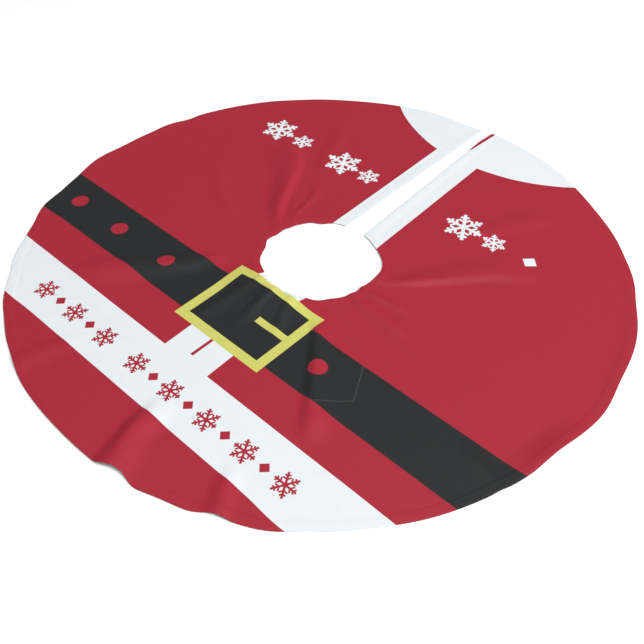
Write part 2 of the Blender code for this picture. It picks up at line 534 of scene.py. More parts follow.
@dataclass(frozen=True)
class Grid:
    """The columns and rings that the panel, the tapes and the seams share.

    Layers that bend at the same places never cut through each other in a fold.

    Attributes:
        cut: The cut of the cloth.
        bays_around: Columns between the two strips beside the slit.
        bays_out: Rings between the neck's hem and the rim's.
        hem_steps: Distances from a lip or the rim at which its hem is sampled.
        neck_steps: Distances from the neck at which its hem is sampled.
    """

    cut: Cut
    bays_around: int = 436
    bays_out: int = 78
    hem_steps: tuple[float, ...] = (
        0.0, 0.0005, 0.0012, 0.0020, 0.0028, 0.0045, 0.0070,
        0.0095, 0.0115, 0.0125, 0.0135, 0.0150, 0.0175, 0.0210,
    )
    neck_steps: tuple[float, ...] = (
        0.0, 0.0005, 0.0012, 0.0020, 0.0028, 0.0045, 0.0070,
        0.0085, 0.0095, 0.0105, 0.0115, 0.0130, 0.0155, 0.0190,
    )

    def columns(self) -> list[Column]:
        """Gives columns that follow the right lip, go round, and follow the left one."""
        deepest = self.hem_steps[-1]
        shares = evenly(0.0, 1.0, self.bays_around)
        between = [(share, deepest * (1 - 2 * share)) for share in shares[1:-1]]
        right = [(0.0, step) for step in self.hem_steps]
        left = [(1.0, -step) for step in reversed(self.hem_steps)]
        return right + between + left

    def rings(self) -> list[float]:
        """Gives rings that are close together over the hems."""
        inner = [self.cut.neck_radius + step for step in self.neck_steps]
        outer = [self.cut.rim_radius - step for step in reversed(self.hem_steps)]
        return inner[:-1] + evenly(inner[-1], outer[0], self.bays_out) + outer[1:]

    def rings_between(self, inner: float, outer: float) -> list[float]:
        """Gives the rings between two radii, with the radii themselves."""
        return [inner, *(ring for ring in self.rings() if inner < ring < outer), outer]

    def columns_between(self, first: Column, last: Column) -> list[Column]:
        """Gives the columns between two columns, with the two themselves."""
        radius = self.cut.rim_radius
        turns = [-self.cut.angle(Spot(*column, radius)) for column in (first, last)]
        held = [
            column
            for column in self.columns()
            if turns[0] < -self.cut.angle(Spot(*column, radius)) < turns[1]
        ]
        return [first, *held, last]


@dataclass(frozen=True)
class SheetPlan:
    """A sheet's grid over the cut cloth.

    Attributes:
        name: The piece's name.
        columns: Its columns, going clockwise.
        rings: The radii, inner first.
        edge: The edge that the hem map follows, or None for the nearest one.
    """

    name: str
    columns: Sequence[Column]
    rings: Sequence[float]
    edge: Union[Edge, None] = None

    def spot(self, column: int, ring: int) -> Spot:
        """Gives the spot where a column crosses a ring."""
        share, inset = self.columns[column]
        return Spot(share, inset, self.rings[ring])

    def build(self, cut: Cut, place: Callable[[Spot], Vector]) -> bpy.types.Object:
        """Makes the sheet's upper side, with its two maps.

        Args:
            cut: The cut of the cloth.
            place: Gives the place of each spot.

        Returns:
            The piece, with no thickness yet.
        """
        sheet = bmesh.new()
        bays_across = len(self.columns) - 1
        bays_out = len(self.rings) - 1
        bmesh.ops.create_grid(sheet, x_segments=bays_across, y_segments=bays_out, size=1.0)
        spots = {}
        for corner in sheet.verts:
            column = round((corner.co.x + 1) / 2 * bays_across)
            ring = round((corner.co.y + 1) / 2 * bays_out)
            spots[corner] = self.spot(column, ring)
            corner.co = place(spots[corner])
        self.map_flat(sheet, spots, cut)
        for face in sheet.faces:
            face.smooth = True
        mesh = bpy.data.meshes.new(self.name)
        sheet.to_mesh(mesh)
        sheet.free()
        piece = bpy.data.objects.new(self.name, mesh)
        bpy.context.scene.collection.objects.link(piece)
        return piece

    def map_flat(self, sheet: bmesh.types.BMesh, spots: dict, cut: Cut) -> None:
        """Writes the flat cut's own x and y, and the way along an edge and in from it.

        Args:
            sheet: The mesh.
            spots: The spot of each vertex.
            cut: The cut of the cloth.
        """
        cut_map = sheet.loops.layers.uv.new(CUT_MAP)
        hem_map = sheet.loops.layers.uv.new(HEM_MAP)
        flat = {}
        for corner, spot in spots.items():
            angle = cut.angle(spot)
            flat[corner] = (spot.radius * math.cos(angle), spot.radius * math.sin(angle))
        distances = {corner: cut.distances(spot) for corner, spot in spots.items()}
        for face in sheet.faces:
            near = self.edge or nearest_edge(distances[loop.vert] for loop in face.loops)
            for loop in face.loops:
                spot = spots[loop.vert]
                away = distances[loop.vert][near]
                lip = near in (Edge.LEFT_LIP, Edge.RIGHT_LIP)
                along = spot.radius if lip else -cut.angle(spot) * spot.radius
                loop[cut_map].uv = flat[loop.vert]
                loop[hem_map].uv = (along, away)


def nearest_edge(distances: Iterable[dict[Edge, float]]) -> Edge:
    """Finds the edge that a face lies nearest to.

    Args:
        distances: How far each of its corners lies from each edge.

    Returns:
        The nearest edge.
    """
    totals = dict.fromkeys(Edge, 0.0)
    for corner in distances:
        for edge, distance in corner.items():
            totals[edge] += distance
    return min(totals, key=lambda edge: totals[edge])


def thicken(piece: bpy.types.Object, thickness: float, back: int = 0) -> None:
    """Gives a sheet its thickness, below the side that it was built from.

    Args:
        piece: The sheet.
        thickness: How thick it is.
        back: Material slots from the face's finish to the back's.
    """
    wall = piece.modifiers.new("cloth_thickness", "SOLIDIFY")
    wall.thickness = thickness
    wall.offset = -1.0
    wall.material_offset = back


# Shader arithmetic

Operand = Union["Value", float]

# Sockets of the Mix node that it uses for colours
MIX_MASK, MIX_BELOW, MIX_ABOVE = 0, 6, 7
MIX_RESULT = 2


@dataclass(frozen=True)
class Value:
    """A number that varies over a surface, with the arithmetic of the Math node."""

    tree: bpy.types.NodeTree
    socket: bpy.types.NodeSocket

    def math(self, operation: str, *others: Operand) -> "Value":
        """Adds a Math node.

        Args:
            operation: The node's operation.
            others: Its other operands, in order.

        Returns:
            The result.
        """
        node = self.tree.nodes.new("ShaderNodeMath")
        node.operation = operation
        self.tree.links.new(self.socket, node.inputs[0])
        for socket, other in zip(node.inputs[1:], others):
            if isinstance(other, Value):
                self.tree.links.new(other.socket, socket)
            else:
                socket.default_value = other
        return Value(self.tree, node.outputs[0])

    def __add__(self, other: Operand) -> "Value":
        """Adds."""
        return self.math("ADD", other)

    def __sub__(self, other: Operand) -> "Value":
        """Subtracts."""
        return self.math("SUBTRACT", other)

    def __mul__(self, other: Operand) -> "Value":
        """Multiplies."""
        return self.math("MULTIPLY", other)

    def __neg__(self) -> "Value":
        """Changes the sign."""
        return self.math("MULTIPLY", -1.0)

    def size(self) -> "Value":
        """Drops the sign."""
        return self.math("ABSOLUTE")

    def least(self, other: Operand) -> "Value":
        """Gives the smaller of two, which joins two shapes."""
        return self.math("MINIMUM", other)

    def most(self, other: Operand) -> "Value":
        """Gives the larger of two, which keeps what two shapes share."""
        return self.math("MAXIMUM", other)

    def over(self, other: Operand) -> "Value":
        """Gives 1 where this is greater, and 0 elsewhere."""
        return self.math("GREATER_THAN", other)

    def outside(self, low: Operand, high: Operand) -> "Value":
        """Gives the distance outside a stretch, negative within it."""
        middle = (low + high) * 0.5
        half = (high - low) * 0.5
        return (self - middle).size() - half

    def filled(self, edge_width: float) -> "Value":
        """Gives 1 where a distance is negative, with an edge of this width."""
        mask = self.math("MULTIPLY_ADD", -1 / edge_width, 0.5)
        mask.socket.node.use_clamp = True
        return mask


def length_of(across: Value, up: Value) -> Value:
    """Gives the length of the vector with these two parts."""
    return (across * across + up * up).math("SQRT")


@dataclass
class ShaderGroup:
    """A shader node group under construction, with named inputs and outputs."""

    tree: bpy.types.NodeTree
    entry: bpy.types.Node
    leave: bpy.types.Node

    @classmethod
    def new(cls, name: str, inputs: dict[str, str], outputs: dict[str, str]) -> "ShaderGroup":
        """Starts a group.

        Args:
            name: The group's name.
            inputs: Socket type for each input's name.
            outputs: Socket type for each output's name.

        Returns:
            The group.
        """
        tree = bpy.data.node_groups.new(name, "ShaderNodeTree")
        for label, kind in inputs.items():
            tree.interface.new_socket(label, in_out="INPUT", socket_type=kind)
        for label, kind in outputs.items():
            tree.interface.new_socket(label, in_out="OUTPUT", socket_type=kind)
        entry = tree.nodes.new("NodeGroupInput")
        leave = tree.nodes.new("NodeGroupOutput")
        return cls(tree, entry, leave)

    def value(self, label: str) -> Value:
        """Gives a number input."""
        return Value(self.tree, self.entry.outputs[label])

    def flat_place(self, label: str) -> tuple[Value, Value]:
        """Gives the x and y of a vector input."""
        parts = self.tree.nodes.new("ShaderNodeSeparateXYZ")
        self.tree.links.new(self.entry.outputs[label], parts.inputs[0])
        return Value(self.tree, parts.outputs[0]), Value(self.tree, parts.outputs[1])

    def swing(self, across: Value, up: Value, detail: float = 2.0) -> Value:
        """Adds a Noise Texture that swings about 0.

        Args:
            across: First coordinate, in units of the grain.
            up: Second coordinate, in units of the grain.
            detail: Octaves of finer grain.

        Returns:
            The noise, from -0.5 to 0.5.
        """
        joined = self.tree.nodes.new("ShaderNodeCombineXYZ")
        self.tree.links.new(across.socket, joined.inputs[0])
        self.tree.links.new(up.socket, joined.inputs[1])
        grain = self.tree.nodes.new("ShaderNodeTexNoise")
        grain.noise_dimensions = "2D"
        grain.inputs["Scale"].default_value = 1.0
        grain.inputs["Detail"].default_value = detail
        self.tree.links.new(joined.outputs[0], grain.inputs["Vector"])
        return Value(self.tree, grain.outputs["Fac"]) - 0.5

    def put_out(self, label: str, socket: bpy.types.NodeSocket) -> None:
        """Links a result to an output."""
        self.tree.links.new(socket, self.leave.inputs[label])


def mixed(
    tree: bpy.types.NodeTree,
    below: Union[bpy.types.NodeSocket, Colour],
    above: Union[bpy.types.NodeSocket, Colour],
    mask: Union[Value, float],
    blend: str = "MIX",
) -> bpy.types.NodeSocket:
    """Lays one colour over another.

    Args:
        tree: The tree to add the Mix node to.
        below: The colour below.
        above: The colour above.
        mask: Where, or how much of, the upper one shows.
        blend: How the two combine.

    Returns:
        The combined colour.
    """
    node = tree.nodes.new("ShaderNodeMix")
    node.data_type = "RGBA"
    node.blend_type = blend
    for number, given in ((MIX_MASK, mask), (MIX_BELOW, below), (MIX_ABOVE, above)):
        socket = node.inputs[number]
        if isinstance(given, Value):
            tree.links.new(given.socket, socket)
        elif isinstance(given, bpy.types.NodeSocket):
            tree.links.new(given, socket)
        else:
            socket.default_value = given
    return node.outputs[MIX_RESULT]


# Print


class Ink(Enum):
    """The colours of the print, with the bare cloth as white."""

    RED = (0.345, 0.0105, 0.0255, 1.0)
    WHITE = (0.70, 0.745, 0.775, 1.0)
    BLACK = (0.0095, 0.0105, 0.0115, 1.0)
    YELLOW = (0.560, 0.545, 0.125, 1.0)
    OUTLINE = (0.075, 0.078, 0.082, 1.0)


class Band(NamedTuple):
    """A stretch between two lines, in metres."""

    low: float
    high: float

    def middle(self) -> float:
        """Gives its middle line."""
        return (self.low + self.high) / 2

    def half(self) -> float:
        """Gives half its width."""
        return (self.high - self.low) / 2


@dataclass(frozen=True)
class Snowflake:
    """A six-armed snowflake, with its proportions as shares of an arm.

    Attributes:
        arm: Length of an arm, in metres.
        stem: Half width of an arm.
        hub: Radius of the disc at its middle.
        twig_stem: Half width of a twig.
        twigs: Where each pair of twigs leaves an arm, and its length.
        twig_angle: Angle between a twig and its arm, in degrees.
    """

    arm: float
    stem: float = 0.085
    hub: float = 0.20
    twig_stem: float = 0.065
    twigs: tuple[tuple[float, float], ...] = ((0.42, 0.34), (0.68, 0.24))
    twig_angle: float = 60.0

    def outside(self, across: Value, up: Value) -> Value:
        """Finds the distance outside the snowflake.

        Args:
            across: Distance right of its centre.
            up: Distance above its centre.

        Returns:
            The distance, negative within it.
        """
        away = length_of(across, up)
        turned = up.math("ARCTAN2", across).math("PINGPONG", math.pi / 6)
        along = away * turned.math("COSINE")
        aside = away * turned.math("SINE")
        shape = (aside - self.arm * self.stem).most(along - self.arm)
        shape = shape.least(away - self.arm * self.hub)
        for foot, length in self.twigs:
            shape = shape.least(self.twig(along - self.arm * foot, aside, self.arm * length))
        return shape

    def twig(self, along: Value, aside: Value, length: float) -> Value:
        """Finds the distance outside one twig.

        Args:
            along: Distance along the arm from the twig's foot.
            aside: Distance from the arm's middle.
            length: The twig's length.

        Returns:
            The distance, negative within it.
        """
        angle = math.radians(self.twig_angle)
        lengthways = along * math.cos(angle) + aside * math.sin(angle)
        crossways = aside * math.cos(angle) - along * math.sin(angle)
        stem = crossways.size() - self.arm * self.twig_stem
        return lengthways.outside(0.0, length).most(stem)


def diamond(across: Value, up: Value, reach: float) -> Value:
    """Finds the distance outside a diamond.

    Args:
        across: Distance right of its centre.
        up: Distance above its centre.
        reach: Distance from its centre to a corner.

    Returns:
        The distance, negative within it.
    """
    return (across.size() + up.size() - reach) * math.sqrt(0.5)


@dataclass(frozen=True)
class Buckle:
    """The belt's buckle, in metres on the flat cloth.

    Attributes:
        across: Its outer edges, left and right.
        up: Its outer edges, below and above.
        side_bar: Width of its two upright bars.
        long_bar: Width of its two level bars.
        prong_across: How far its prong runs.
        prong_up: The prong's lower and upper edge.
    """

    across: Band = Band(-0.0891, 0.1140)
    up: Band = Band(-0.2703, -0.1102)
    side_bar: float = 0.0186
    long_bar: float = 0.0180
    prong_across: Band = Band(0.0288, 0.0990)
    prong_up: Band = Band(-0.1934, -0.1800)

    def outer(self, across: Value, up: Value) -> Value:
        """Gives the distance outside its outer edge."""
        wide = (across - self.across.middle()).size() - self.across.half()
        tall = (up - self.up.middle()).size() - self.up.half()
        return wide.most(tall)

    def metal(self, across: Value, up: Value) -> Value:
        """Gives the distance outside its frame and its prong."""
        wide = (across - self.across.middle()).size() - self.across.half() + self.side_bar
        tall = (up - self.up.middle()).size() - self.up.half() + self.long_bar
        window = wide.most(tall)
        prong = across.outside(*self.prong_across).most(up.outside(*self.prong_up))
        return self.outer(across, up).most(-window).least(prong)


@dataclass(frozen=True)
class Placket:
    """The coat's front strip, in metres on the flat cloth.

    It is wider behind the trunk hole, where the spread slit runs through it. Its middle line
    shows below the buckle, and again at the slit's outer end, where the right lip cuts it off.

    Attributes:
        front: Its two edges, level with the hole's centre.
        back_widening: How much further its right edge lies, behind the hole.
        lean_left: How far its left edge moves right for each metre up.
        lean_right: How far its right edge moves right for each metre up.
        line_half_width: Half width of the middle line below the buckle.
        front_line_at: Where that line lies, left to right.
        front_line: Its lower and upper end.
        back_line_foot: Point where the middle line starts again near the rim.
        back_line_lean: How far that piece moves right for each metre up.
        back_line_taper: How fast it widens from its foot.
        back_line_half_width: Half its full width.
    """

    front: Band = Band(-0.0500, 0.0487)
    back_widening: float = 0.0124
    lean_left: float = -0.025
    lean_right: float = -0.042
    line_half_width: float = 0.0030
    front_line_at: float = 0.0089
    front_line: Band = Band(-0.3160, -0.2696)
    back_line_foot: tuple[float, float] = (-0.0095, 0.462)
    back_line_lean: float = 0.052
    back_line_taper: float = 0.20
    back_line_half_width: float = 0.0038

    def strip(self, across: Value, up: Value) -> Value:
        """Gives the distance outside the strip."""
        left = up * self.lean_left + self.front.low
        right = up * self.lean_right + up.over(0.0) * self.back_widening + self.front.high
        return across.outside(left, right)

    def lines(self, across: Value, up: Value) -> Value:
        """Gives the distance outside the two pieces of its middle line."""
        front = (across - self.front_line_at).size() - self.line_half_width
        front = front.most(up.outside(*self.front_line))
        foot_across, foot_up = self.back_line_foot
        out = up - foot_up
        half_width = (out * self.back_line_taper).least(self.back_line_half_width)
        back = (across - out * self.back_line_lean - foot_across).size() - half_width
        return front.least(back.most(-out))


@dataclass(frozen=True)
class Belt:
    """The belt, in metres on the flat cloth.

    Attributes:
        up: Its lower and upper edge.
        holes: Where its holes lie, left to right.
        holes_up: The height of their centres.
        hole_radius: Their radius.
        tip: The point of its pointed end.
        lean_above: How far the end's outline moves right for each metre above that point.
        lean_below: The same, for each metre up to that point from below.
        outline_half_width: Half width of the outline.
    """

    up: Band = Band(-0.2535, -0.1430)
    holes: tuple[float, ...] = (-0.4643, -0.3387, -0.1992, 0.1800)
    holes_up: float = -0.1972
    hole_radius: float = 0.0165
    tip: tuple[float, float] = (0.2659, -0.2077)
    lean_above: float = -0.557
    lean_below: float = 1.0
    outline_half_width: float = 0.0005

    def strip(self, up: Value) -> Value:
        """Gives the distance outside the strap."""
        return up.outside(*self.up)

    def punched(self, across: Value, up: Value) -> Value:
        """Gives the distance outside its holes."""
        first, *others = self.holes
        away = (across - first).size()
        for centre in others:
            away = away.least((across - centre).size())
        return length_of(away, up - self.holes_up) - self.hole_radius

    def outline(self, across: Value, up: Value) -> Value:
        """Gives the distance outside the fine line that marks its pointed end."""
        tip_across, tip_up = self.tip
        above = up - tip_up
        lean = above.most(0.0) * self.lean_above + above.least(0.0) * self.lean_below
        line = (across - lean - tip_across).size() - self.outline_half_width
        return line.most(self.strip(up))


@dataclass(frozen=True)
class Ornaments:
    """Snowflakes and diamonds, in metres on the flat cloth.

    White ones lie in pairs beside the slit, and red ones run in two groups along the trim.

    Attributes:
        pair_centres: The middle of each white pair, left to right.
        pair_up: The height of the white ones' centres.
        large_at: Where a pair's large snowflake lies from its middle.
        large: That snowflake.
        small_at: Where a pair's small snowflake lies from its middle.
        small: That snowflake.
        lone_at: Where the white diamond lies.
        lone_reach: Its reach.
        chain_start: Left end of the red row.
        chain_pitch: Distance from one red ornament to the next.
        chain_up: The height of the red ones' centres.
        chain_count: Ornaments in the red row, with the one left out.
        chain_gap: The number of the one left out.
        chain_flake: A red snowflake.
        chain_diamond_reach: A red diamond's reach.
    """

    pair_centres: tuple[float, float, float] = (-0.3300, -0.1440, 0.1650)
    pair_up: float = 0.2530
    large_at: float = -0.0270
    large: Snowflake = Snowflake(0.0390)
    small_at: float = 0.0420
    small: Snowflake = Snowflake(0.0240)
    lone_at: float = 0.2860
    lone_reach: float = 0.0150
    chain_start: float = -0.3170
    chain_pitch: float = 0.0423
    chain_up: float = -0.3880
    chain_count: int = 15
    chain_gap: int = 5
    chain_flake: Snowflake = Snowflake(0.0225)
    chain_diamond_reach: float = 0.0105

    def white(self, across: Value, up: Value) -> Value:
        """Gives the distance outside the white ones."""
        first, second, third = self.pair_centres
        centre = across.over((first + second) / 2) * (second - first)
        centre = centre + across.over((second + third) / 2) * (third - second) + first
        local = across - centre
        height = up - self.pair_up
        large = self.large.outside(local - self.large_at, height)
        small = self.small.outside(local - self.small_at, height)
        lone = diamond(across - self.lone_at, height, self.lone_reach)
        return large.least(small).least(lone)

    def red(self, across: Value, up: Value) -> Value:
        """Gives the distance outside the red ones, which take turns along the trim."""
        run = (across - self.chain_start) * (1 / self.chain_pitch)
        number = run.math("FLOOR")
        local = (run - number - 0.5) * self.chain_pitch
        height = up - self.chain_up
        odd = number.math("PINGPONG", 1.0)
        flake = self.chain_flake.outside(local, height) + odd
        between = diamond(local, height, self.chain_diamond_reach) - odd + 1.0
        beyond = number.outside(-0.5, self.chain_count - 0.5)
        gap = -((number - self.chain_gap).size() - 0.5)
        return flake.least(between).most(beyond).most(gap)


@dataclass(frozen=True)
class SuitPrint:
    """The print on the skirt's face: a coat front with a belt, a placket, a collar and a trim.

    Places are in metres on the flat cloth, x to the right and y towards the slit.

    Attributes:
        bleed: Width over which one ink runs into the next.
        trim: The white trim's lower and upper edge.
        collar_centre: Centre of the circle that bounds the collar.
        collar_radius: That circle's radius.
        placket: The coat's front strip.
        belt: The belt.
        buckle: The belt's buckle.
        ornaments: The snowflakes and diamonds.
    """

    bleed: float = 0.0007
    trim: Band = Band(-0.4385, -0.3298)
    collar_centre: tuple[float, float] = (0.0, 0.7755)
    collar_radius: float = 0.3498
    placket: Placket = Placket()
    belt: Belt = Belt()
    buckle: Buckle = Buckle()
    ornaments: Ornaments = Ornaments()

    def group(self) -> bpy.types.NodeTree:
        """Makes the print's node group.

        Returns:
            A group from the flat place on the cloth to the colour there.
        """
        made = ShaderGroup.new(
            "suit_print", {"Cut": "NodeSocketVector"}, {"Ink": "NodeSocketColor"}
        )
        across, up = made.flat_place("Cut")
        collar_across, collar_up = self.collar_centre
        collar = length_of(across - collar_across, up - collar_up) - self.collar_radius
        whites = self.placket.strip(across, up).least(collar)
        layers = (
            (whites.least(self.ornaments.white(across, up)), Ink.WHITE),
            (self.placket.lines(across, up), Ink.RED),
            (self.belt.strip(up), Ink.BLACK),
            (self.belt.punched(across, up), Ink.RED),
            (self.belt.outline(across, up), Ink.OUTLINE),
            (self.buckle.outer(across, up), Ink.BLACK),
            (self.buckle.metal(across, up), Ink.YELLOW),
            (up - self.trim.low, Ink.RED),
            (up.outside(*self.trim), Ink.WHITE),
            (self.ornaments.red(across, up), Ink.RED),
        )
        colour = Ink.RED.value
        for shape, ink in layers:
            colour = mixed(made.tree, colour, ink.value, shape.filled(self.bleed))
        made.put_out("Ink", colour)
        return made.tree


# Surface relief


@dataclass(frozen=True)
class ClothRelief:
    """The twill ribs, brushed nap, soft creases and uneven tone that every finish shares.

    Attributes:
        rib_slant: How far the ribs run across for each step up.
        pick_slant: The same for the picks that cross them.
        picks: Picks for each rib.
        pick_depth: Depth of the picks, for a rib of depth 1.
        nap: Tufts of nap for each rib.
        creases: Creases per metre, across and up.
        patches: Patches of tone per metre.
        grains: Fine grains of tone per metre.
        grain_share: Strength of the grains, for patches of strength 1.
        rib_share: How much the ribs change the tone, for patches of strength 1.
        gloss_share: How much the roughness varies with the tone.
    """

    rib_slant: float = 0.55
    pick_slant: float = 0.3
    picks: float = 0.5
    pick_depth: float = 0.45
    nap: float = 0.45
    creases: tuple[float, float] = (16.0, 22.0)
    patches: float = 36.0
    grains: float = 420.0
    grain_share: float = 0.6
    rib_share: float = 0.12
    gloss_share: float = 0.8

    def group(self) -> bpy.types.NodeTree:
        """Makes the node group.

        Returns:
            A group from a flat place to a height in metres, and to a tone and a roughness
            about 1.
        """
        made = ShaderGroup.new(
            "cloth_relief",
            {
                "Place": "NodeSocketVector",
                "Ribs Per Metre": "NodeSocketFloat",
                "Rib Depth": "NodeSocketFloat",
                "Nap Depth": "NodeSocketFloat",
                "Crease Depth": "NodeSocketFloat",
                "Unevenness": "NodeSocketFloat",
            },
            {
                "Height": "NodeSocketFloat",
                "Tone": "NodeSocketFloat",
                "Roughness": "NodeSocketFloat",
            },
        )
        across, up = made.flat_place("Place")
        ribs = made.value("Ribs Per Metre")
        diagonal = ((across + up * self.rib_slant) * ribs * math.tau).math("SINE")
        crossing = ((up - across * self.pick_slant) * ribs * (math.tau * self.picks)).math("SINE")
        weave = (diagonal + crossing * self.pick_depth) * made.value("Rib Depth") * 0.5
        nap = made.swing(across * ribs * self.nap, up * ribs * self.nap, 3.0)
        creases_across, creases_up = self.creases
        creases = made.swing(across * creases_across, up * creases_up)
        creases = creases.size() * -1.0 * made.value("Crease Depth")
        height = weave + nap * made.value("Nap Depth") + creases
        patches = made.swing(across * self.patches, up * self.patches, 3.0)
        grains = made.swing(across * self.grains, up * self.grains)
        uneven = (patches + grains * self.grain_share) * made.value("Unevenness")
        tone = uneven + diagonal * made.value("Unevenness") * self.rib_share + 1.0
        made.put_out("Height", height.socket)
        made.put_out("Tone", tone.socket)
        made.put_out("Roughness", (uneven * self.gloss_share + 1.0).socket)
        return made.tree


@dataclass(frozen=True)
class HemPucker:
    """The small gathers that stitching leaves along an edge.

    Attributes:
        reach: How far in from the edge they run, in widths of the hem.
        fade: How fast they fade out there, per metre.
        rows: Changes of the gathers per metre in from the edge.
    """

    reach: float = 1.5
    fade: float = 120.0
    rows: float = 30.0

    def group(self) -> bpy.types.NodeTree:
        """Makes the node group.

        Returns:
            A group from the way along an edge and in from it to a height in metres.
        """
        made = ShaderGroup.new(
            "hem_pucker",
            {
                "Hem": "NodeSocketVector",
                "Width": "NodeSocketFloat",
                "Gathers Per Metre": "NodeSocketFloat",
                "Depth": "NodeSocketFloat",
            },
            {"Height": "NodeSocketFloat"},
        )
        along, away = made.flat_place("Hem")
        gathers = made.swing(along * made.value("Gathers Per Metre"), away * self.rows)
        held = (made.value("Width") * self.reach - away) * self.fade
        held = held.least(1.0).most(0.0)
        made.put_out("Height", (gathers * held * made.value("Depth")).socket)
        return made.tree


@dataclass(frozen=True)
class ClothGroups:
    """The node groups that several finishes share.

    Attributes:
        print: The printed picture.
        relief: The weave, nap and creases.
        pucker: The gathers along the seams.
    """

    print: bpy.types.NodeTree
    relief: bpy.types.NodeTree
    pucker: bpy.types.NodeTree

    @classmethod
    def new(cls) -> "ClothGroups":
        """Makes each group once."""
        return cls(SuitPrint().group(), ClothRelief().group(), HemPucker().group())


# Finishes


@dataclass(frozen=True)
class Relief:
    """The cloth relief's values for one finish.

    Attributes:
        ribs_per_metre: Ribs per metre.
        rib_depth: Depth of the ribs, in metres.
        nap_depth: Depth of the nap, in metres.
        crease_depth: Depth of the creases, in metres.
        unevenness: How much the tone varies, as a share.
    """

    ribs_per_metre: float
    rib_depth: float
    nap_depth: float
    crease_depth: float
    unevenness: float


class FinishTree:
    """A material under construction, with its Principled shader and the shared groups."""

    def __init__(self, name: str, groups: ClothGroups) -> None:
        """Starts a material.

        Args:
            name: The material's name.
            groups: The shared node groups.
        """
        self.groups = groups
        self.material = bpy.data.materials.new(name)
        self.material.use_nodes = True
        self.tree = self.material.node_tree
        self.shader = self.tree.nodes["Principled BSDF"]

    def settle(self, specular: float, sheen: float = 0.0) -> None:
        """Sets the shader's constant values."""
        self.shader.inputs["Specular IOR Level"].default_value = specular
        self.shader.inputs["Sheen Weight"].default_value = sheen

    def flat_map(self, name: str) -> bpy.types.NodeSocket:
        """Gives the place on one of the piece's flat maps."""
        node = self.tree.nodes.new("ShaderNodeUVMap")
        node.uv_map = name
        return node.outputs[0]

    def in_space(self) -> bpy.types.NodeSocket:
        """Gives the place in the object's own coordinates."""
        return self.tree.nodes.new("ShaderNodeTexCoord").outputs["Object"]

    def placed(self, tree: bpy.types.NodeTree, **inputs: object) -> bpy.types.Node:
        """Places a group with this material's own values.

        Args:
            tree: The group.
            inputs: A number or a socket for each input, named with underscores for spaces.

        Returns:
            The group's node.
        """
        node = self.tree.nodes.new("ShaderNodeGroup")
        node.node_tree = tree
        for label, given in inputs.items():
            socket = node.inputs[label.replace("_", " ").title()]
            if isinstance(given, bpy.types.NodeSocket):
                self.tree.links.new(given, socket)
            else:
                socket.default_value = given
        return node

    def relief(self, place: bpy.types.NodeSocket, values: Relief) -> bpy.types.Node:
        """Places the cloth relief on one of the piece's maps."""
        return self.placed(
            self.groups.relief,
            place=place,
            ribs_per_metre=values.ribs_per_metre,
            rib_depth=values.rib_depth,
            nap_depth=values.nap_depth,
            crease_depth=values.crease_depth,
            unevenness=values.unevenness,
        )

    def colour(self, base: Union[bpy.types.NodeSocket, Colour], tone: bpy.types.NodeSocket) -> None:
        """Links the base colour, made lighter and darker by a tone."""
        toned = mixed(self.tree, base, tone, 1.0, "MULTIPLY")
        self.tree.links.new(toned, self.shader.inputs["Base Color"])

    def roughness(self, base: float, around: bpy.types.NodeSocket) -> None:
        """Links the roughness, varied about a middle value."""
        varied = Value(self.tree, around) * base
        self.tree.links.new(varied.socket, self.shader.inputs["Roughness"])

    def bump(self, height: Value) -> None:
        """Links a height in metres through a Bump node."""
        node = self.tree.nodes.new("ShaderNodeBump")
        node.inputs["Strength"].default_value = 1.0
        node.inputs["Distance"].default_value = 1.0
        self.tree.links.new(height.socket, node.inputs["Height"])
        self.tree.links.new(node.outputs["Normal"], self.shader.inputs["Normal"])


@dataclass(frozen=True)
class PrintedFace:
    """Brushed polyester with the print on it.

    Attributes:
        roughness: Its mean roughness.
        specular: Its specular level.
        relief: Its weave, nap and creases.
        pucker_depth: Depth of the gathers along its seams, in metres.
        gathers_per_metre: Gathers per metre of seam.
    """

    roughness: float = 0.55
    specular: float = 0.40
    relief: Relief = Relief(2200.0, 0.000035, 0.00005, 0.0004, 0.05)
    pucker_depth: float = 0.0004
    gathers_per_metre: float = 75.0

    def make(self, cut: Cut, groups: ClothGroups) -> bpy.types.Material:
        """Makes the material.

        Args:
            cut: The cut of the cloth, for the width that its hems pucker over.
            groups: The shared node groups.

        Returns:
            The material.
        """
        finish = FinishTree("printed_polyester_face", groups)
        finish.settle(self.specular)
        flat = finish.flat_map(CUT_MAP)
        ink = finish.placed(groups.print, cut=flat).outputs["Ink"]
        relief = finish.relief(flat, self.relief)
        pucker = finish.placed(
            groups.pucker,
            hem=finish.flat_map(HEM_MAP),
            width=cut.rim_tape,
            gathers_per_metre=self.gathers_per_metre,
            depth=self.pucker_depth,
        )
        finish.colour(ink, relief.outputs["Tone"])
        finish.roughness(self.roughness, relief.outputs["Roughness"])
        finish.bump(
            Value(finish.tree, relief.outputs["Height"])
            + Value(finish.tree, pucker.outputs["Height"])
        )
        return finish.material


